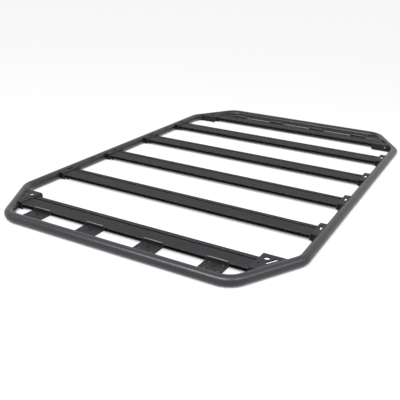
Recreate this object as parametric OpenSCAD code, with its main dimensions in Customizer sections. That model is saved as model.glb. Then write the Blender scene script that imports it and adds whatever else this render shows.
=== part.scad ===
// Flat platform roof rack: a bent round tube frame carries six extruded crossbars.
// Millimetres, +Z up, +X to the right, the front edge faces -Y.
// The origin is on the floor plane under the bracket feet, at the centre of the plan.

/* [Platform] */
// Overall width over the side tubes
rack_w = 1240; // [1100:10:1400]
// Overall length over the front and rear tubes
rack_l = 1985; // [1960:5:2200]
// Height of the tube's centre line over the bracket feet
tube_z = 20; // [20:1:30]

/* [Frame tube] */
// Outside diameter of the frame tube
tube_d = 38; // [34:1:40]
// Wall thickness of the frame tube
tube_wall = 2; // [1.5:0.5:3]
// Bend radius at the centre line
bend_r = 80; // [70:5:110]
// How much the wall of a bend stands proud of the straight tube, inside and outside
bend_swell = 0.1; // [0.05:0.05:0.3]
// Corner cut along the front and rear edges, centre line to centre line
corner_x = 143; // [135:1:150]
// Corner cut along the side edges, centre line to centre line
corner_y = 258; // [250:1:270]
// Distance of the front tube joints ahead of the centre
front_joint_y = 318; // [250:1:400]
// Distance of the rear tube joints behind the centre
rear_joint_y = 375; // [300:1:400]
// Gap that shows between two butted tubes
joint_gap = 1.2; // [0.8:0.1:2]
// Length of the sleeve inside each tube joint
sleeve_l = 120; // [60:5:160]
// Wall thickness of the joint sleeve
sleeve_wall = 2.5; // [2:0.5:4]
// Radial clearance between a sleeve and the tube around it
sleeve_clear = 0.15; // [0.1:0.05:0.3]

/* [Crossbars] */
// Distance from the front tube's centre line to the first crossbar's middle
front_reach = 141.5; // [135:0.5:150]
// Distance from the rear tube's centre line to the last crossbar's middle
rear_reach = 163.5; // [150:0.5:170]
// How much further the first two crossbars lie apart than the middle ones
first_gap_extra = 10.5; // [0:0.5:20]
// How much closer the last two crossbars lie than the middle ones
last_gap_less = 19.5; // [0:0.5:30]
// Width of a crossbar's section, front to back
bar_w = 95; // [90:1:98]
// Height of a crossbar's section
bar_h = 28; // [27:1:30]
// Height of a crossbar's top face over the tube's centre line
bar_top = 11; // [10:1:13]
// Wall thickness of the extrusion
bar_wall = 2.2; // [1.8:0.1:2.6]
// Height of the upright front face
bar_nose = 15.5; // [15:0.5:17]
// Height of the upright back face
bar_tail = 12; // [10:0.5:14]
// Run of the sloped underside behind the nose
bar_nose_run = 30; // [26:1:34]
// Run of the sloped underside ahead of the tail
bar_tail_run = 28; // [24:1:32]
// Drop of the back edge below the flat top
bar_tail_drop = 2; // [1:0.5:3]
// Chamfer along the upper edges of the section
bar_edge = 1.2; // [0.8:0.1:1.6]
// Gap from the side tube's centre line to the end of a middle crossbar
bar_end_gap = 41; // [38:1:48]
// Gap from the side tube's centre line to the end of the first and last crossbar
corner_bar_gap = 127; // [122:1:140]

/* [Accessory slots] */
// Width of a slot's mouth
slot_mouth = 8; // [7:0.5:9]
// Width of the chamber below the top slot's mouth
slot_chamber = 16; // [14:0.5:17]
// Full depth of a slot
slot_depth = 10; // [9:0.5:11]
// Thickness of the lips beside a slot's mouth
slot_lip = 2.5; // [2:0.1:3]
// Width of the chamber behind the front slot's mouth
front_chamber = 12; // [11.5:0.1:12.5]
// Distance from the front face to the middle of the top slot
top_slot_y = 67.5; // [64:0.5:69]
// Distance from the top face down to the middle of the front slot
front_slot_z = 8.6; // [8.6:0.1:8.9]
// Distance from a bar's end to the middle of the notch that lets a bolt head into the front slot
notch_in = 40; // [30:1:60]
// Length of that notch along the bar
notch_l = 13; // [10:1:18]
// Height of that notch
notch_h = 11; // [9:0.5:11.5]

/* [Brackets] */
// Thickness of the bracket plate
bracket_t = 5; // [3:0.5:6]
// Outside radius of the bracket's bend
bracket_bend = 8; // [6.5:0.5:9]
// Reach of a middle bracket behind its crossbar
bracket_tail = 16; // [12:1:24]
// Reach of a corner bracket past the inner edge of its crossbar
corner_tail = 20; // [16:1:26]
// Set-back of the bracket's web from its front edge
web_setback = 7; // [5:1:12]
// Height of the underside of a bracket's web over the feet
web_bottom = 3; // [2:1:8]
// Length of the foot on a bracket's lower edge
foot_l = 48; // [40:1:56]
// Height at which the bracket's front edge starts to slope in to the foot
flange_nose_z = 10; // [8:1:12]
// Width of the lashing slot in a middle bracket
lash_w = 10; // [8:0.5:12]
// Overall length of the lashing slot in a middle bracket
lash_l = 34; // [24:1:40]
// Distance of the lashing slot behind the crossbar's middle
lash_y = 17; // [8:1:22]
// Land left at a bracket's underside between a slot and the tube beside it
slot_land = 1.2; // [1:0.2:4]
// Gap left for the weld between a plate and the thickest part of the tube
weld_gap = 0.1; // [0.1:0.05:0.3]

/* [Corner bracket holes] */
// Diameter of the large round hole
port_d = 21; // [18:1:24]
// Distance of the large hole from the plate's inner edge
port_x = 29; // [27:1:34]
// Distance of the large hole outboard of the crossbar's middle, along the rack
port_y = 38; // [34:1:42]
// Width of the long slot beside the tube
corner_slot_w = 12; // [9:0.5:14]
// Overall length of the long slot
corner_slot_l = 54; // [48:1:58]
// Distance of the long slot's middle along the diagonal tube from its outer corner
corner_slot_along = 178; // [170:1:182]
// Diameter of the small bolt hole
pilot_d = 8; // [6:0.5:9]
// Distance of the small hole from the plate's inner edge
pilot_x = 18; // [16:1:22]
// Distance of the small hole from the crossbar's middle, towards the end tube
pilot_y = 5; // [0:1:10]
// Diameter of the hole through a corner web
web_hole_d = 10; // [7:0.5:10]
// Distance of that hole from the folded flange, at the front corners
web_hole_edge = 1; // [0.5:0.5:2]
// Distance of that hole's middle from the tube, at the rear corners
web_hole_in = 17; // [12:1:24]
// Height of the web holes over the tube's centre line
web_hole_z = 4; // [0:1:5]

/* [Accessory plates] */
// Number of plates along the front and along the rear
plate_count = 4; // [2:1:4]
// Distance from the end of the first crossbar to the middle of the outermost plate
plate_inset = 105; // [95:1:120]
// Width of a plate
plate_w = 86; // [78:1:96]
// Thickness of a plate
plate_t = 3; // [2.5:0.5:4]
// Height of the bent flange over the plate's top face
plate_flange_h = 13; // [10:0.5:14]
// Corner cut at each upper end of the flange
plate_flange_cut = 6; // [4:1:8]
// Distance between the hole columns of a plate
plate_hole_x = 50; // [44:1:56]
// Distance between the hole rows of a plate
plate_hole_y = 40; // [34:1:42]
// Diameter of the corner holes of a plate
plate_hole_d = 7; // [5:0.5:8]
// Diameter of the centre hole of a plate
plate_centre_d = 9; // [6:0.5:10]
// Distance from the plate's flange to its nearer hole row
plate_hole_in = 7; // [6:1:12]

/* [Hidden] */
$fn = 36;
bar_count = 6;
last_bar = bar_count;
frame_colour = [0.16, 0.16, 0.17];
bar_colour = [0.18, 0.18, 0.19];
plate_colour = [0.20, 0.20, 0.20];
overcut = 1;
tube_r = tube_d / 2;
half_w = rack_w / 2 - tube_r;
half_l = rack_l / 2 - tube_r;
bar_z = tube_z + bar_top;
bracket_z = bar_z + bracket_t;
diagonal_angle = atan(corner_y / corner_x);
side_angle = 90 - diagonal_angle;
front_tangent = bend_r * tan(diagonal_angle / 2);
side_tangent = bend_r * tan(side_angle / 2);
diagonal_l = norm([corner_x, corner_y]) - front_tangent - side_tangent;
// How far a straight run reaches into a bend's wall
bend_hold = 2;
cope_r = tube_r + bend_swell + weld_gap;
// Distance from the tube's centre line to where a bracket's underside meets it
underside_run = sqrt(pow(cope_r, 2) - pow(bar_top, 2));
corner_slot_off = underside_run + slot_land + corner_slot_w / 2;
lash_x = bar_end_gap - underside_run - slot_land - lash_w / 2;
web_hole_height = tube_z + web_hole_z;
half_bar_w = bar_w / 2;
middle_bar_half_l = half_w - bar_end_gap;
corner_bar_half_l = half_w - corner_bar_gap;
plate_z = tube_z - plate_t / 2;

first_y = -half_l + front_reach;
last_y = half_l - rear_reach;
bar_pitch = (last_y - first_y - first_gap_extra + last_gap_less) / (bar_count - 1);
second_y = first_y + bar_pitch + first_gap_extra;
function bar_y(i) = i == 1 ? first_y : i == last_bar ? last_y : second_y + (i - 2) * bar_pitch;
// Inner side of the front diagonal tube at the place y along the rack
function tube_side(y) = half_w - corner_x + (y + half_l) * tan(side_angle) - cope_r / cos(side_angle);
// Distance from an end tube's centre line to the middle of the crossbar beside it
function reach(end) = end < 0 ? front_reach : rear_reach;
function bar_half_l(i) = i == 1 || i == last_bar ? corner_bar_half_l : middle_bar_half_l;
plate_pitch = 2 * (corner_bar_half_l - plate_inset) / (plate_count - 1);
function plate_x(k) = (k - (plate_count + 1) / 2) * plate_pitch;

FRAME_NODES = ["front_tube", "rear_tube", "left_side_tube", "right_side_tube"];
ENDS = ["front", "rear"];
SIDES = ["left", "right"];
SLEEVE_NODES = [for (end = ENDS) for (side = SIDES) str("joint_sleeve_", end, "_", side)];
BAR_NODES = [for (i = [1 : bar_count]) str("crossbar_", i)];
BRACKET_NODES = [for (side = SIDES) for (i = [2 : bar_count - 1]) str("bar_bracket_", side, "_", i)];
CORNER_NODES = [for (end = ENDS) for (side = SIDES) str("corner_bracket_", end, "_", side)];
PLATE_NODES = [for (end = ENDS) for (k = [1 : plate_count]) str("accessory_plate_", end, "_", k)];

// Frame tube, drawn as straight runs and bends that share their end faces
module ring(outer_d, wall) {
    difference() {
        circle(d = outer_d);
        circle(d = outer_d - 2 * wall);
    }
}

// Straight run from the local origin along +X
module straight_tube(length) {
    rotate([0, 90, 0])
        linear_extrude(length)
            ring(tube_d, tube_wall);
}

// Straight run that is held in a bend at both of its ends
module held_tube(length) {
    translate([-bend_hold, 0, 0]) straight_tube(length + 2 * bend_hold);
}

// Bend that starts at the local origin along +X and turns towards +Y
module tube_bend(sweep) {
    translate([0, bend_r, 0])
        rotate([0, 0, -90])
            rotate_extrude(angle = sweep)
                translate([bend_r, 0])
                    rotate(-90)
                        ring(tube_d + 2 * bend_swell, tube_wall + 2 * bend_swell);
}

// Moves its children to the end of such a bend
module after_bend(sweep) {
    translate([bend_r * sin(sweep), bend_r * (1 - cos(sweep)), 0])
        rotate([0, 0, sweep])
            children();
}

// Right half of the end frame at -Y, from the middle to its joint at joint_y
module half_end_frame(joint_y) {
    front_run = half_w - corner_x - front_tangent;
    side_run = half_l - joint_y - joint_gap / 2 - corner_y - side_tangent;
    translate([0, -half_l, tube_z]) {
        straight_tube(front_run + bend_hold);
        translate([front_run, 0, 0]) {
            tube_bend(diagonal_angle);
            after_bend(diagonal_angle) {
                held_tube(diagonal_l);
                translate([diagonal_l, 0, 0]) {
                    tube_bend(side_angle);
                    after_bend(side_angle) held_tube(side_run - bend_hold);
                }
            }
        }
    }
}

module end_frame(joint_y) {
    color(frame_colour)
        union() {
            half_end_frame(joint_y);
            mirror([1, 0, 0]) half_end_frame(joint_y);
        }
}

module front_tube() {
    end_frame(front_joint_y);
}

module rear_tube() {
    mirror([0, 1, 0]) end_frame(rear_joint_y);
}

module side_tube(side) {
    color(frame_colour)
        translate([side * half_w, -front_joint_y + joint_gap / 2, tube_z])
            rotate([0, 0, 90])
                straight_tube(front_joint_y + rear_joint_y - joint_gap);
}

module joint_sleeve(side, joint_y) {
    color(frame_colour)
        translate([side * half_w, joint_y - sleeve_l / 2, tube_z])
            rotate([-90, 0, 0])
                linear_extrude(sleeve_l)
                    ring(tube_d - 2 * tube_wall - 2 * sleeve_clear, sleeve_wall);
}

// Crossbar section, drawn in the front-to-back plane with its top face at zero height
module slot_outline(chamber_w) {
    translate([-slot_mouth / 2, -slot_lip - overcut])
        square([slot_mouth, slot_lip + 2 * overcut]);
    translate([-chamber_w / 2, -slot_depth])
        square([chamber_w, slot_depth - slot_lip]);
}

module bar_outline() {
    polygon([
        [-half_bar_w, -bar_edge],
        [-half_bar_w + bar_edge, 0],
        [-half_bar_w + top_slot_y + slot_mouth / 2, 0],
        [half_bar_w - bar_edge, -bar_tail_drop],
        [half_bar_w, -bar_tail_drop - bar_edge],
        [half_bar_w, -bar_tail_drop - bar_tail],
        [half_bar_w - bar_tail_run, -bar_h],
        [-half_bar_w + bar_nose_run, -bar_h],
        [-half_bar_w, -bar_nose]
    ]);
}

// Hollow between the front slot and the top slot
module main_hollow() {
    front = -half_bar_w + slot_depth + bar_wall;
    back = -half_bar_w + top_slot_y - slot_chamber / 2 - bar_wall;
    slope = (bar_h - bar_nose) / bar_nose_run;
    step = bar_wall * norm([1, slope]);
    polygon([
        [front, -bar_wall],
        [back, -bar_wall],
        [back, -bar_h + bar_wall],
        [-half_bar_w + bar_nose_run + bar_wall / 2, -bar_h + bar_wall],
        [front, -bar_nose - slope * (slot_depth + bar_wall) + step]
    ]);
}

// Hollow under and behind the top slot
module tail_hollow() {
    front = -half_bar_w + top_slot_y - slot_chamber / 2;
    behind_slot = front + slot_chamber + bar_wall;
    under_slot = -slot_depth - bar_wall;
    back = half_bar_w - bar_wall;
    top = -bar_tail_drop - bar_wall;
    polygon([
        [front, under_slot],
        [behind_slot, under_slot],
        [behind_slot, top],
        [back, top],
        [back, -bar_tail_drop - bar_tail + bar_wall / 2],
        [half_bar_w - bar_tail_run - bar_wall / 2, -bar_h + bar_wall],
        [front, -bar_h + bar_wall]
    ]);
}

module bar_section() {
    difference() {
        bar_outline();
        main_hollow();
        tail_hollow();
        translate([-half_bar_w + top_slot_y, 0]) slot_outline(slot_chamber);
        translate([-half_bar_w, -front_slot_z]) rotate(90) slot_outline(front_chamber);
    }
}

// Notch through both lips of the front slot
module slot_notch(x) {
    depth = (slot_lip + slot_depth) / 2;
    translate([x - notch_l / 2, -half_bar_w - overcut, -front_slot_z - notch_h / 2])
        cube([notch_l, depth + overcut, notch_h]);
}

module crossbar(i) {
    length = 2 * bar_half_l(i);
    color(bar_colour)
        translate([0, bar_y(i), bar_z])
            difference() {
                translate([-length / 2, 0, 0])
                    rotate([90, 0, 90])
                        linear_extrude(length)
                            bar_section();
                slot_notch(length / 2 - notch_in);
                slot_notch(notch_in - length / 2);
            }
}

// Bent plate that closes a bar's end and reaches the tube; x runs outward from the bar's end
module bent_plate(reach, front, back) {
    run = back - front;
    translate([0, back, 0])
        rotate([90, 0, 0])
            linear_extrude(run) {
                square([bracket_t, bracket_z - bracket_bend]);
                translate([bracket_bend, bar_z]) square([reach - bracket_bend, bracket_t]);
                translate([bracket_bend, bracket_z - bracket_bend])
                    intersection() {
                        ring(2 * bracket_bend, bracket_t);
                        translate([-bracket_bend, 0]) square(bracket_bend);
                    }
            }
}

// Side view of the end flange: upright nose, sloped in to the foot, and a raised tail
module flange_outline(front, back) {
    polygon([
        [front, bracket_z],
        [front, flange_nose_z],
        [-foot_l / 2 + overcut, 0],
        [foot_l / 2 - overcut, 0],
        [back, flange_nose_z],
        [back, bracket_z]
    ]);
}

module bracket_blank(reach, front, back) {
    intersection() {
        bent_plate(reach, front, back);
        rotate([90, 0, 90])
            linear_extrude(reach)
                flange_outline(front, back);
    }
}

module web(reach, y) {
    translate([bracket_t, y, web_bottom])
        cube([reach - bracket_t, bracket_t, bar_z - web_bottom]);
}

module round_hole(x, y, d) {
    translate([x, y, bar_z - overcut])
        cylinder(d = d, h = bracket_t + 2 * overcut);
}

module web_hole(x, y) {
    translate([x, y - overcut, web_hole_height])
        rotate([-90, 0, 0])
            cylinder(d = web_hole_d, h = bracket_t + 2 * overcut);
}

module slot_hole(w, l) {
    run = l - w;
    translate([0, -run / 2, 0]) cylinder(d = w, h = bracket_t + 2 * overcut);
    translate([0, run / 2, 0]) cylinder(d = w, h = bracket_t + 2 * overcut);
    translate([-w / 2, -run / 2, 0]) cube([w, run, bracket_t + 2 * overcut]);
}

// Middle bracket at the right end of a bar; x is zero at the bar's end
module bar_bracket_shape() {
    front = -half_bar_w;
    back = half_bar_w + bracket_tail;
    difference() {
        union() {
            bracket_blank(bar_end_gap, front, back);
            web(bar_end_gap, front + web_setback);
        }
        translate([bar_end_gap, front - overcut, tube_z])
            rotate([-90, 0, 0])
                cylinder(r = cope_r, h = back - front + 2 * overcut);
        translate([lash_x, lash_y, bar_z - overcut])
            slot_hole(lash_w, lash_l);
    }
}

module bar_bracket(side, i) {
    color(plate_colour)
        mirror([side < 0 ? 1 : 0, 0, 0])
            translate([middle_bar_half_l, bar_y(i), 0])
                bar_bracket_shape();
}

// Corner bracket drawn at the front right, in the rack's own plan coordinates
module corner_cope() {
    translate([half_w - corner_x, -half_l, 0])
        rotate([0, 0, diagonal_angle])
            translate([0, 0, tube_z])
                rotate([0, 90, 0])
                    cylinder(r = cope_r, h = norm([corner_x, corner_y]));
}

// Removes what lies outboard of the diagonal tube's centre line
module outboard_cut() {
    translate([half_w - corner_x, -half_l, -overcut])
        rotate([0, 0, diagonal_angle])
            translate([-corner_x, -corner_y, 0])
                cube([3 * corner_y, corner_y, bracket_z + 2 * overcut]);
}

// Its one web is always on the side towards -Y, as on the middle brackets
module corner_bracket_shape(end) {
    front = -half_bar_w;
    back = half_bar_w + corner_tail;
    y = reach(end) - half_l;
    web_y = end < 0 ? front + web_setback : back - bracket_t;
    by_flange = corner_bar_half_l + bracket_t + web_hole_edge + web_hole_d / 2;
    hole_x = end < 0 ? by_flange : tube_side(y + back) - web_hole_in;
    difference() {
        translate([corner_bar_half_l, y, 0]) {
            bracket_blank(corner_bar_gap, front, back);
            web(corner_bar_gap, web_y);
        }
        corner_cope();
        outboard_cut();
        round_hole(corner_bar_half_l + port_x, y + port_y, port_d);
        round_hole(corner_bar_half_l + pilot_x, y - pilot_y, pilot_d);
        translate([half_w - corner_x, -half_l, bar_z - overcut])
            rotate([0, 0, diagonal_angle - 90])
                translate([-corner_slot_off, corner_slot_along, 0])
                    slot_hole(corner_slot_w, corner_slot_l);
        web_hole(hole_x, y + web_y);
    }
}

module corner_bracket(side, end) {
    color(plate_colour)
        mirror([side < 0 ? 1 : 0, 0, 0])
            mirror([0, end > 0 ? 1 : 0, 0])
                corner_bracket_shape(end);
}

// Solid as wide as the tube and its weld gap, along the front run and the bend at its right end
module front_cope() {
    front_x = half_w - corner_x - front_tangent;
    translate([-front_x, -half_l, tube_z])
        rotate([0, 90, 0])
            cylinder(r = cope_r, h = 2 * front_x);
    translate([front_x, -half_l + bend_r, tube_z])
        rotate([0, 0, -90 - overcut])
            rotate_extrude(angle = diagonal_angle)
                translate([bend_r, 0])
                    circle(r = cope_r);
}

module plate_flange_outline() {
    polygon([
        [-plate_w / 2, 0],
        [plate_w / 2, 0],
        [plate_w / 2, plate_flange_h - plate_flange_cut],
        [plate_w / 2 - plate_flange_cut, plate_flange_h],
        [-plate_w / 2 + plate_flange_cut, plate_flange_h],
        [-plate_w / 2, plate_flange_h - plate_flange_cut]
    ]);
}

// Accessory plate between an end tube and its crossbar, drawn at the front
module accessory_plate_shape(end, x) {
    back = reach(end) - half_l - half_bar_w;
    front = -half_l;
    hole_mid = back - plate_t - plate_hole_in - plate_hole_y / 2;
    difference() {
        translate([x, 0, 0]) {
            translate([-plate_w / 2, front, plate_z])
                cube([plate_w, back - front, plate_t]);
            translate([0, back, plate_z + plate_t])
                rotate([90, 0, 0])
                    linear_extrude(plate_t)
                        plate_flange_outline();
        }
        mirror([x < 0 ? 1 : 0, 0, 0]) front_cope();
        for (sx = [-1, 1])
            for (sy = [-1, 1])
                translate([x + sx * plate_hole_x / 2, hole_mid + sy * plate_hole_y / 2, plate_z - overcut])
                    cylinder(d = plate_hole_d, h = plate_t + 2 * overcut);
        translate([x, hole_mid, plate_z - overcut])
            cylinder(d = plate_centre_d, h = plate_t + 2 * overcut);
    }
}

module accessory_plate(end, k) {
    color(plate_colour)
        mirror([0, end > 0 ? 1 : 0, 0])
            accessory_plate_shape(end, plate_x(k));
}

front_tube();
rear_tube();
side_tube(-1);  // left_side_tube
side_tube(1);  // right_side_tube
joint_sleeve(-1, -front_joint_y);  // joint_sleeve_front_left
joint_sleeve(1, -front_joint_y);  // joint_sleeve_front_right
joint_sleeve(-1, rear_joint_y);  // joint_sleeve_rear_left
joint_sleeve(1, rear_joint_y);  // joint_sleeve_rear_right
for (i = [1 : bar_count])
    crossbar(i);
for (i = [2 : bar_count - 1])
    bar_bracket(-1, i);
for (i = [2 : bar_count - 1])
    bar_bracket(1, i);
corner_bracket(-1, -1);  // corner_bracket_front_left
corner_bracket(1, -1);  // corner_bracket_front_right
corner_bracket(-1, 1);  // corner_bracket_rear_left
corner_bracket(1, 1);  // corner_bracket_rear_right
for (k = [1 : plate_count])
    accessory_plate(-1, k);
for (k = [1 : plate_count])
    accessory_plate(1, k);
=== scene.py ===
import math

import bmesh
import bpy
from mathutils import Matrix, Vector


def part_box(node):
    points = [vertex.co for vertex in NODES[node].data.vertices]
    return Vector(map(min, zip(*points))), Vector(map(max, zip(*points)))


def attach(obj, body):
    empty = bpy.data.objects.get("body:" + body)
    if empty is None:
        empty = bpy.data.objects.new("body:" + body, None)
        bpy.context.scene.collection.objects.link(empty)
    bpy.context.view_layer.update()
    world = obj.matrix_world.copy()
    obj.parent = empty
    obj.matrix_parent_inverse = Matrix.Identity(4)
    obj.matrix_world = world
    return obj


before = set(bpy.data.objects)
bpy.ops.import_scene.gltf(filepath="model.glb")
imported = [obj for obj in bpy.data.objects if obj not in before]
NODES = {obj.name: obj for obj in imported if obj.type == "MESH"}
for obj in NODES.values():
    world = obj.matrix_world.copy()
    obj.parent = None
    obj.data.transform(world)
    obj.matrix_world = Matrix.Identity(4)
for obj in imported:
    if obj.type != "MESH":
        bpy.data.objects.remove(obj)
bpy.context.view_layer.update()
scene = bpy.context.scene
MM = 0.001

# Camera, fitted to the photograph's vanishing lines
FOCAL_PX = 580.4
PICTURE_PX = 400
CAMERA_AT = Vector((1.0805, -2.3661, 0.9087))
AZIMUTH = math.radians(27.815)
PITCH = math.radians(22.27)
ROLL = math.radians(2.157)


def make_camera():
    forward = Vector((-math.sin(AZIMUTH) * math.cos(PITCH),
                      math.cos(AZIMUTH) * math.cos(PITCH),
                      -math.sin(PITCH)))
    right = forward.cross(Vector((0, 0, 1))).normalized()
    up = right.cross(forward)
    right, up = (right * math.cos(ROLL) + up * math.sin(ROLL),
                 up * math.cos(ROLL) - right * math.sin(ROLL))
    data = bpy.data.cameras.new("camera")
    data.sensor_width = 36
    data.lens = FOCAL_PX / PICTURE_PX * data.sensor_width
    data.clip_start = 0.05
    data.clip_end = 60
    obj = bpy.data.objects.new("camera", data)
    turn = Matrix((right, up, -forward)).transposed()
    obj.matrix_world = Matrix.Translation(CAMERA_AT) @ turn.to_4x4()
    scene.collection.objects.link(obj)
    scene.camera = obj


make_camera()


# Places read from the frame, in metres
def low(node):
    return Vector(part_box(node)[0])


def high(node):
    return Vector(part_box(node)[1])


TUBE_R = (high("front_tube").z - low("front_tube").z) / 2
TUBE_Z = (high("left_side_tube").z + low("left_side_tube").z) / 2
SIDE_R = (high("left_side_tube").z - low("left_side_tube").z) / 2
HALF_W = high("right_side_tube").x - SIDE_R
BARS = range(1, 7)
MIDDLE_BARS = range(2, 6)
PLATES = range(1, 5)
SIDES = (("left", -1), ("right", 1))
# Name of each end, its direction along Y, the outer face of its crossbar, and its tube's centre line
ENDS = (("front", -1, low("crossbar_1").y, low("front_tube").y + TUBE_R),
        ("rear", 1, high("crossbar_6").y, high("rear_tube").y - TUBE_R))
# Thickness of the accessory plates
PLATE_T = 3 * MM


# Materials
class Graph:
    def __init__(self, name):
        self.material = bpy.data.materials.new(name)
        self.material.use_nodes = True
        self.tree = self.material.node_tree
        self.tree.nodes.clear()

    def add(self, kind, inputs=None, **values):
        node = self.tree.nodes.new(kind)
        for key, value in values.items():
            setattr(node, key, value)
        for key, value in (inputs or {}).items():
            if isinstance(value, bpy.types.NodeSocket):
                self.tree.links.new(value, node.inputs[key])
            else:
                node.inputs[key].default_value = value
        return node

    def noise(self, scale, detail=2.0, stretch=None):
        where = self.add("ShaderNodeTexCoord").outputs["Object"]
        if stretch:
            where = self.add("ShaderNodeVectorMath", {0: where, 1: stretch}, operation="MULTIPLY").outputs[0]
        inputs = {"Vector": where, "Scale": scale, "Detail": detail}
        return self.add("ShaderNodeTexNoise", inputs).outputs["Fac"]

    def remap(self, value, low_in, high_in, low_out, high_out):
        return self.add("ShaderNodeMapRange", {"Value": value, "From Min": low_in, "From Max": high_in,
                                               "To Min": low_out, "To Max": high_out}).outputs["Result"]

    def math(self, operation, a, b):
        return self.add("ShaderNodeMath", {0: a, 1: b}, operation=operation).outputs[0]

    def mix(self, factor, a, b):
        return self.add("ShaderNodeMix", {"Factor": factor, 6: a, 7: b}, data_type="RGBA").outputs[2]

    def bump(self, height, distance, strength, normal=None):
        inputs = {"Height": height, "Distance": distance, "Strength": strength}
        if normal:
            inputs["Normal"] = normal
        return self.add("ShaderNodeBump", inputs).outputs["Normal"]

    def rounded(self, radius):
        return self.add("ShaderNodeBevel", {"Radius": radius}, samples=4).outputs["Normal"]

    def edges(self, rounded, start, end):
        flat = self.add("ShaderNodeNewGeometry").outputs["Normal"]
        facing = self.add("ShaderNodeVectorMath", {0: rounded, 1: flat}, operation="DOT_PRODUCT")
        return self.remap(facing.outputs["Value"], start, end, 0, 1)

    def recess(self, distance):
        return self.add("ShaderNodeAmbientOcclusion", {"Distance": distance}, samples=4).outputs["AO"]

    def finish(self, **inputs):
        shader = self.add("ShaderNodeBsdfPrincipled", {key.replace("_", " "): v for key, v in inputs.items()})
        self.add("ShaderNodeOutputMaterial", {"Surface": shader.outputs["BSDF"]})
        return self.material


def rgb(r, g, b):
    return (r, g, b, 1)


def grey(level):
    return rgb(level, level, level)


def powder_coat(name, dark, light, worn_and_highlight, roughness, specular, rub_and_highlight=0.5, soft=0.9, painted_shade_reach=28,
                lines=None):
    """Textured satin powder coat: patchy tone, orange peel, fine grain, painted shade in crevices, and rubbed
    edges painted pale, partly as edge wear and partly as a painted highlight.

    soft is the radius in millimetres to which the edges look rounded, and the argument after it is the
    distance in millimetres within which neighbouring faces paint shade on each other, darkening the coat
    almost to black.
    """
    g = Graph(name)
    patches = g.remap(g.noise(7, 3), 0.3, 0.7, 0, 1)
    grain = g.noise(1900, 2)
    tone = g.math("ADD", g.math("MULTIPLY", patches, 0.6), g.math("MULTIPLY", grain, 0.4))
    colour = g.mix(tone, dark, light)
    rounded = g.rounded(soft * MM)
    # Edges rubbed pale: partly edge wear, partly a painted highlight along the rounded edges.
    rubbed_and_highlit = g.math("MULTIPLY", g.edges(rounded, 0.995, 0.86), g.remap(g.noise(60, 4), 0.35, 0.65, 0.2, 1))
    colour = g.mix(g.math("MULTIPLY", rubbed_and_highlit, rub_and_highlight), colour, worn_and_highlight)
    # Painted shade: where ambient occlusion finds faces close by, the colour is darkened almost to black.
    colour = g.mix(g.remap(g.recess(painted_shade_reach * MM), 0.3, 0.88, 0.95, 0), colour, rgb(0.004, 0.004, 0.004))
    rough = g.remap(g.noise(35, 3), 0.3, 0.7, roughness - 0.04, roughness + 0.05)
    rough = g.math("SUBTRACT", rough, g.math("MULTIPLY", rubbed_and_highlit, 0.05))
    normal = g.bump(g.noise(420, 2), 0.25 * MM, 0.22, rounded)
    normal = g.bump(grain, 0.06 * MM, 0.35, normal)
    if lines:
        normal = g.bump(g.noise(1, 3, lines), 0.2 * MM, 0.25, normal)
    return g.finish(Base_Color=colour, Roughness=rough, Normal=normal, Specular_IOR_Level=specular)


def bare_metal(name, dark, light, roughness):
    g = Graph(name)
    colour = g.mix(g.remap(g.noise(220, 3), 0.3, 0.7, 0, 1), dark, light)
    rough = g.remap(g.noise(90, 3), 0.3, 0.7, roughness - 0.06, roughness + 0.08)
    normal = g.bump(g.noise(1500, 2), 0.04 * MM, 0.3)
    return g.finish(Base_Color=colour, Roughness=rough, Normal=normal, Metallic=1.0)


FRAME_COAT = powder_coat("frame_coat", rgb(0.011, 0.011, 0.015), rgb(0.018, 0.018, 0.024),
                         rgb(0.09, 0.09, 0.10), 0.35, 0.48)
# Bars: the pale edge colour, strongly rubbed on, is mostly a painted highlight along the edges, and the shade
# reach paints shade in the grooves and slots.
BAR_COAT = powder_coat("bar_coat", rgb(0.015, 0.015, 0.017), rgb(0.024, 0.024, 0.027),
                       rgb(0.20, 0.20, 0.21), 0.55, 0.13, rub_and_highlight=0.9, soft=1.6, painted_shade_reach=22,
                       lines=(1.5, 900, 900))
# Plates: the pale edge colour is mostly a painted highlight on the flange tops, and the long shade reach
# paints the bracket webs darker.
PLATE_COAT = powder_coat("plate_coat", rgb(0.013, 0.013, 0.014), rgb(0.021, 0.021, 0.022),
                         rgb(0.19, 0.19, 0.20), 0.55, 0.2, rub_and_highlight=0.8, painted_shade_reach=45)
# Pale coat for the flange hems: a painted highlight.
HIGHLIGHT_HEM_COAT = powder_coat("hem_painted_highlight", rgb(0.15, 0.15, 0.155), rgb(0.22, 0.22, 0.225),
                       rgb(0.3, 0.3, 0.3), 0.4, 0.5)
WELD_COAT = powder_coat("weld_coat", rgb(0.024, 0.024, 0.027), rgb(0.038, 0.038, 0.042),
                        rgb(0.08, 0.08, 0.09), 0.42, 0.45)
SLEEVE_METAL = bare_metal("sleeve_metal", rgb(0.42, 0.42, 0.44), rgb(0.58, 0.58, 0.60), 0.38)
SCREW_BLACK = powder_coat("screw_black", rgb(0.006, 0.006, 0.006), rgb(0.012, 0.012, 0.012),
                          rgb(0.05, 0.05, 0.05), 0.5, 0.2)


# Faces that meet at more than this angle keep a sharp edge
SHARP_ANGLE = math.radians(35)


def assign(obj, material):
    obj.data.materials.clear()
    obj.data.materials.append(material)


for node_name, node in NODES.items():
    if node_name.startswith("crossbar"):
        assign(node, BAR_COAT)
    elif node_name.endswith("_tube"):
        assign(node, FRAME_COAT)
    elif node_name.startswith("joint_sleeve"):
        assign(node, SLEEVE_METAL)
    else:
        assign(node, PLATE_COAT)


def piece(name, bm, material):
    bmesh.ops.recalc_face_normals(bm, faces=bm.faces)
    mesh = bpy.data.meshes.new(name)
    bm.to_mesh(mesh)
    bm.free()
    obj = bpy.data.objects.new(name, mesh)
    scene.collection.objects.link(obj)
    mesh.materials.append(material)
    for polygon in mesh.polygons:
        polygon.use_smooth = True
    mesh.set_sharp_from_angle(angle=SHARP_ANGLE)
    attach(obj, "root")
    return obj


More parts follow.
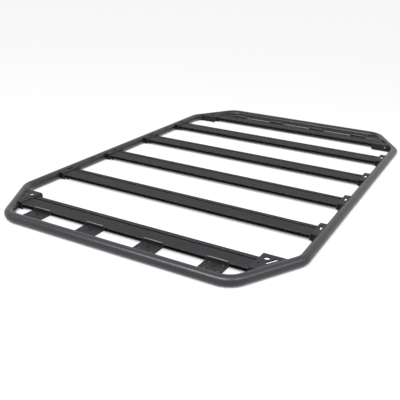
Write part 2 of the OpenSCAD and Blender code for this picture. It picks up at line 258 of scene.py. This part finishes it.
# Weld beads
BRACKET_BEAD_R = 1.5 * MM
PLATE_BEAD_R = 1.3 * MM
BEAD_STEP = 0.7 * MM
BEAD_SIDES = 8
# Length of one ripple, how far it swells and lags, and the share of the radius left at the bead's ends
RIPPLE = 3.0 * MM
RIPPLE_SWELL = 0.16
RIPPLE_LAG = 0.35
BEAD_END = 0.35
BEAD_TAPER = 2.5


def add_bead(bm, start, end, radius):
    """Rippled bead swept from start to end, closed and tapered at both ends."""
    axis = end - start
    count = max(8, round(axis.length / BEAD_STEP))
    along = axis.normalized()
    across = along.cross(Vector((0, 0, 1))).normalized()
    lift = across.cross(along)
    rings = []
    for k in range(count + 1):
        t = k / count
        distance = t * axis.length
        ripple = 1 + RIPPLE_SWELL * abs(math.sin(math.pi * distance / RIPPLE))
        taper = min(1, BEAD_END + min(distance, axis.length - distance) / (BEAD_TAPER * radius))
        r = radius * ripple * taper
        lag = along * (RIPPLE_LAG * r * math.cos(2 * math.pi * distance / RIPPLE))
        centre = start + along * distance
        ring = []
        for i in range(BEAD_SIDES):
            a = 2 * math.pi * i / BEAD_SIDES
            point = centre + across * r * math.cos(a) + lift * r * math.sin(a) + lag * math.sin(a)
            ring.append(bm.verts.new(point))
        rings.append(ring)
    for a, b in zip(rings, rings[1:]):
        for i in range(BEAD_SIDES):
            j = (i + 1) % BEAD_SIDES
            bm.faces.new((a[i], a[j], b[j], b[i]))
    bm.faces.new(rings[0])
    bm.faces.new(reversed(rings[-1]))


def tube_run(height):
    """Horizontal distance from the tube's centre line to its surface at a height over the centre line."""
    return math.sqrt(SIDE_R ** 2 - height ** 2)


def ring_of(bm, at, turn, sides, z, radius_at):
    """One ring of points round a local axis, with its radius given by angle."""
    ring = []
    for i in range(sides):
        a = 2 * math.pi * i / sides
        r = radius_at(a)
        ring.append(bm.verts.new(at + turn @ Vector((r * math.cos(a), r * math.sin(a), z))))
    return ring


def skin(bm, rings):
    """Faces between neighbouring rings, with both ends closed."""
    for a, b in zip(rings, rings[1:]):
        for i in range(len(a)):
            j = (i + 1) % len(a)
            bm.faces.new((a[i], a[j], b[j], b[i]))
    bm.faces.new(rings[-1])
    bm.faces.new(reversed(rings[0]))


def hexagon(a, r):
    """Distance from the middle of a hexagon to its side, at an angle, where r reaches its corners."""
    return r * math.cos(math.pi / 6) / math.cos((a % (math.pi / 3)) - math.pi / 6)


# Screws with hexagon sockets
SCREW_SIDES = 24
DOME_STEPS = 6
END_FLANGE_T = 5 * MM
END_SCREW_SHARES = (0.34, 0.60)
END_SCREW_HEIGHT = 0.47
END_SCREW_R = 5.6 * MM
END_SCREW_H = 3.2 * MM
END_SOCKET_R = 2.6 * MM


def add_button_screw(bm, at, axis, head_r, head_h, socket_r):
    """Domed head on a washer, standing on the point at and looking along axis, with a hexagon socket."""
    turn = Vector((0, 0, 1)).rotation_difference(axis).to_matrix()
    washer_r, washer_h = head_r * 1.35, head_h * 0.3
    rim_r = socket_r * 1.25
    profile = [(washer_r, 0), (washer_r, washer_h * 0.8), (washer_r * 0.97, washer_h), (head_r, washer_h)]
    for k in range(DOME_STEPS + 1):
        a = math.pi / 2 * k / DOME_STEPS
        profile.append((rim_r + (head_r - rim_r) * math.cos(a), washer_h + head_h * math.sin(a)))
    rings = [ring_of(bm, at, turn, SCREW_SIDES, z, lambda a, r=r: r) for r, z in profile]
    top = washer_h + head_h
    for z in (top, top - head_h * 0.65):
        rings.append(ring_of(bm, at, turn, SCREW_SIDES, z, lambda a: hexagon(a, socket_r)))
    skin(bm, rings)


def make_end_screws():
    """Two screws through each end flange into the crossbar."""
    for i in BARS:
        bm = bmesh.new()
        bar_lo, bar_hi = low(f"crossbar_{i}"), high(f"crossbar_{i}")
        for side in (-1, 1):
            for share in END_SCREW_SHARES:
                at = Vector((side * (bar_hi.x + END_FLANGE_T), bar_lo.y + share * (bar_hi.y - bar_lo.y),
                             bar_lo.z + END_SCREW_HEIGHT * (bar_hi.z - bar_lo.z)))
                add_button_screw(bm, at, Vector((side, 0, 0)), END_SCREW_R, END_SCREW_H, END_SOCKET_R)
        piece(f"end_screws_{i}", bm, SCREW_BLACK)


JOINT_SCREW_FROM_END = (12 * MM, 29 * MM)
JOINT_SCREW_LEAN = math.radians(36)
JOINT_SCREW_R = 5.2 * MM
JOINT_SOCKET_R = 2.5 * MM


def add_flush_screw(bm, at, axis, head_r, socket_r):
    """Countersunk head 0.3 mm proud of the point at, with a hexagon socket. Heights are in millimetres."""
    turn = Vector((0, 0, 1)).rotation_difference(axis).to_matrix()
    rings = [ring_of(bm, at, turn, SCREW_SIDES, z * MM, lambda a, r=r: r)
             for r, z in ((head_r, -1.6), (head_r, 0.1), (head_r * 0.96, 0.3), (socket_r * 1.2, 0.3))]
    for z in (0.1, -2.2):
        rings.append(ring_of(bm, at, turn, SCREW_SIDES, z * MM, lambda a: hexagon(a, socket_r)))
    skin(bm, rings)


def make_joint_screws():
    """Two countersunk screws into each sleeve, on the inner shoulder of the side tube by its joints."""
    bm = bmesh.new()
    for side_name, side in SIDES:
        lo, hi = low(f"{side_name}_side_tube"), high(f"{side_name}_side_tube")
        out = Vector((-side * math.sin(JOINT_SCREW_LEAN), 0, math.cos(JOINT_SCREW_LEAN)))
        for end_y, inward in ((lo.y, 1), (hi.y, -1)):
            for distance in JOINT_SCREW_FROM_END:
                at = Vector((side * HALF_W, end_y + inward * distance, TUBE_Z)) + out * SIDE_R
                add_flush_screw(bm, at, out, JOINT_SCREW_R, JOINT_SOCKET_R)
    piece("joint_screws", bm, SCREW_BLACK)


# Threaded inserts in the centre holes of the accessory plates: radius and height in millimetres
INSERT_FROM_BAR = 30 * MM
INSERT_PROFILE = ((4.4, -13), (4.4, 0), (7.4, 0), (7.4, 0.7), (7.1, 1.0), (3.3, 1.0), (3.0, 0.7), (3.0, -11))


def make_plate_inserts():
    """A black flanged barrel through the centre hole of each plate."""
    bm = bmesh.new()
    upright = Matrix.Identity(3)
    for end, outward, bar_face, tube_y in ENDS:
        for i in PLATES:
            name = f"accessory_plate_{end}_{i}"
            middle_x = (low(name).x + high(name).x) / 2
            at = Vector((middle_x, bar_face + outward * INSERT_FROM_BAR, TUBE_Z + PLATE_T / 2))
            skin(bm, [ring_of(bm, at, upright, SCREW_SIDES, z * MM, lambda a, r=r: r * MM)
                      for r, z in INSERT_PROFILE])
    piece("plate_inserts", bm, SCREW_BLACK)


# Welds
WELD_INSET = 1.5 * MM
# Where the centre lines of an end run and a diagonal meet, from the middle, and the angle between them
CORNER_HALF = 458 * MM
CORNER_LEAN = math.radians(61)


def make_bracket_welds():
    """A bead where the top of each bracket meets the tube."""
    bm = bmesh.new()
    for i in MIDDLE_BARS:
        for side_name, side in SIDES:
            name = f"bar_bracket_{side_name}_{i}"
            lo, hi = low(name), high(name)
            x = side * (HALF_W - tube_run(hi.z - TUBE_Z))
            points = [Vector((x, y, hi.z)) for y in (lo.y + WELD_INSET, hi.y - WELD_INSET)]
            add_bead(bm, *points, BRACKET_BEAD_R)
    for end, outward, bar_face, tube_y in ENDS:
        for side_name, side in SIDES:
            name = f"corner_bracket_{end}_{side_name}"
            lo, hi = low(name), high(name)
            run = tube_run(hi.z - TUBE_Z)
            points = []
            for y in (lo.y + WELD_INSET, hi.y - WELD_INSET):
                back = (tube_y - y) * outward - run * math.cos(CORNER_LEAN)
                x = CORNER_HALF - run * math.sin(CORNER_LEAN) + back / math.tan(CORNER_LEAN)
                points.append(Vector((side * x, y, hi.z)))
            add_bead(bm, *points, BRACKET_BEAD_R)
    piece("bracket_welds", bm, WELD_COAT)


# Rounded edges of the plates' flanges, each a little thinner at its two ends
HEM_R = 1.9 * MM
HEM_CUT = 6 * MM
HEM_SIDES = 16
HEM_END = 0.6
HEM_BODY = 0.95


def make_flange_hems():
    """A rounded edge, coated pale as a painted highlight, along the top of each accessory plate's upright
    flange.
    """
    bm = bmesh.new()
    turn = Matrix.Rotation(math.radians(90), 3, "Y")
    for end, outward, bar_face, tube_y in ENDS:
        for i in PLATES:
            name = f"accessory_plate_{end}_{i}"
            y = bar_face + outward * PLATE_T / 2
            z = high(name).z
            start, finish = low(name).x + HEM_CUT, high(name).x - HEM_CUT
            stations = ((start, HEM_END), (start + HEM_R / 2, HEM_BODY),
                        (finish - HEM_R / 2, HEM_BODY), (finish, HEM_END))
            rings = []
            for x, r in stations:
                rings.append(ring_of(bm, Vector((x, y, z)), turn, HEM_SIDES, 0, lambda a, r=r: HEM_R * r))
            skin(bm, rings)
    piece("flange_hems_painted_highlight", bm, HIGHLIGHT_HEM_COAT)


def make_plate_welds():
    """A bead where each accessory plate meets the front or rear tube."""
    bm = bmesh.new()
    top = PLATE_T / 2
    for end, outward, bar_face, tube_y in ENDS:
        for i in PLATES:
            name = f"accessory_plate_{end}_{i}"
            y = tube_y - outward * math.sqrt(TUBE_R ** 2 - top ** 2)
            left = Vector((low(name).x + WELD_INSET, y, TUBE_Z + top))
            right = Vector((high(name).x - WELD_INSET, y, TUBE_Z + top))
            add_bead(bm, left, right, PLATE_BEAD_R)
    piece("plate_welds", bm, WELD_COAT)


make_end_screws()
make_joint_screws()
make_plate_inserts()
make_bracket_welds()
make_plate_welds()
make_flange_hems()


# Stage
FLOOR_SIZE = 20
FLOOR_GREY = 0.6
SEEN_FLOOR_GREY = 0.17
# How near the object has to be to darken the floor, and the glow of the floor there and away from it
CONTACT_SHADOW = 12 * MM
CONTACT_GLOW = 0.1
OPEN_GLOW = 0.91


def make_floor():
    """Floor that lights the object as a grey one and is seen as a white one, darker close to the object."""
    mesh = bpy.data.meshes.new("floor")
    bm = bmesh.new()
    bmesh.ops.create_grid(bm, x_segments=4, y_segments=4, size=FLOOR_SIZE)
    bm.to_mesh(mesh)
    bm.free()
    floor = bpy.data.objects.new("floor", mesh)
    scene.collection.objects.link(floor)
    g = Graph("floor")
    plain = g.add("ShaderNodeBsdfDiffuse", {"Color": grey(FLOOR_GREY)}).outputs[0]
    shaded = g.add("ShaderNodeBsdfDiffuse", {"Color": grey(SEEN_FLOOR_GREY)}).outputs[0]
    contact = g.remap(g.recess(CONTACT_SHADOW), 0.12, 0.46, CONTACT_GLOW, OPEN_GLOW)
    white = g.add("ShaderNodeEmission", {"Color": rgb(1, 1, 1), "Strength": contact}).outputs[0]
    seen = g.add("ShaderNodeAddShader", {0: shaded, 1: white}).outputs[0]
    path = g.add("ShaderNodeLightPath").outputs
    looked_at = g.math("MAXIMUM", path["Is Camera Ray"], path["Is Glossy Ray"])
    looked_at = g.math("MAXIMUM", looked_at, path["Is Transmission Ray"])
    both = g.add("ShaderNodeMixShader", {0: looked_at, 1: plain, 2: seen}).outputs[0]
    g.add("ShaderNodeOutputMaterial", {"Surface": both})
    assign(floor, g.material)


# Light from all round, and three soft boxes: the point each is aimed at, the way towards it from there,
# how far off it stands, its length and height in metres, and its power in watts
SKY_LIGHT = 0.12
LAMP_COLOUR = (0.96, 0.98, 1.0)
KEY = {"aim": (0.10, -0.97, 0.03), "towards": (-0.04, -0.56, 0.80), "away": 3.1,
       "size": (3.3, 0.62), "power": 138}
SIDE = {"aim": (0.48, -0.95, 0.03), "towards": (0.60, -0.14, 0.76), "away": 3.0,
        "size": (0.9, 0.8), "power": 36}
FILL = {"aim": (0.53, -0.85, 0.03), "towards": (0.74, 0.26, 0.60), "away": 3.2,
        "size": (1.3, 0.8), "power": 15}


def add_softbox(name, aim, towards, away, size, power):
    lamp = bpy.data.lights.new(name, "AREA")
    lamp.shape = "RECTANGLE"
    lamp.size, lamp.size_y = size
    lamp.energy = power
    lamp.color = LAMP_COLOUR
    obj = bpy.data.objects.new(name, lamp)
    out = Vector(towards).normalized()
    lengthwise = out.cross(Vector((1, 0, 0))).normalized()
    turn = Matrix((lengthwise.cross(out), lengthwise, out)).transposed()
    obj.matrix_world = Matrix.Translation(Vector(aim) + out * away) @ turn.to_4x4()
    scene.collection.objects.link(obj)


def make_light():
    """World that lights faintly but is seen as white, and the three soft boxes."""
    world = bpy.data.worlds.new("studio")
    scene.world = world
    world.use_nodes = True
    tree = world.node_tree
    tree.nodes.clear()
    out = tree.nodes.new("ShaderNodeOutputWorld")
    sky = tree.nodes.new("ShaderNodeBackground")
    white = tree.nodes.new("ShaderNodeBackground")
    mix = tree.nodes.new("ShaderNodeMixShader")
    path = tree.nodes.new("ShaderNodeLightPath")
    sky.inputs["Color"].default_value = rgb(0.98, 0.99, 1.0)
    sky.inputs["Strength"].default_value = SKY_LIGHT
    white.inputs["Color"].default_value = rgb(1, 1, 1)
    white.inputs["Strength"].default_value = 1.0
    seen = None
    for ray in ("Is Camera Ray", "Is Glossy Ray", "Is Transmission Ray"):
        if seen is None:
            seen = path.outputs[ray]
            continue
        either = tree.nodes.new("ShaderNodeMath")
        either.operation = "MAXIMUM"
        tree.links.new(seen, either.inputs[0])
        tree.links.new(path.outputs[ray], either.inputs[1])
        seen = either.outputs[0]
    tree.links.new(seen, mix.inputs[0])
    tree.links.new(sky.outputs[0], mix.inputs[1])
    tree.links.new(white.outputs[0], mix.inputs[2])
    tree.links.new(mix.outputs[0], out.inputs["Surface"])

    add_softbox("key", **KEY)
    add_softbox("side", **SIDE)
    add_softbox("fill", **FILL)


make_floor()
make_light()
scene.view_settings.view_transform = "Standard"
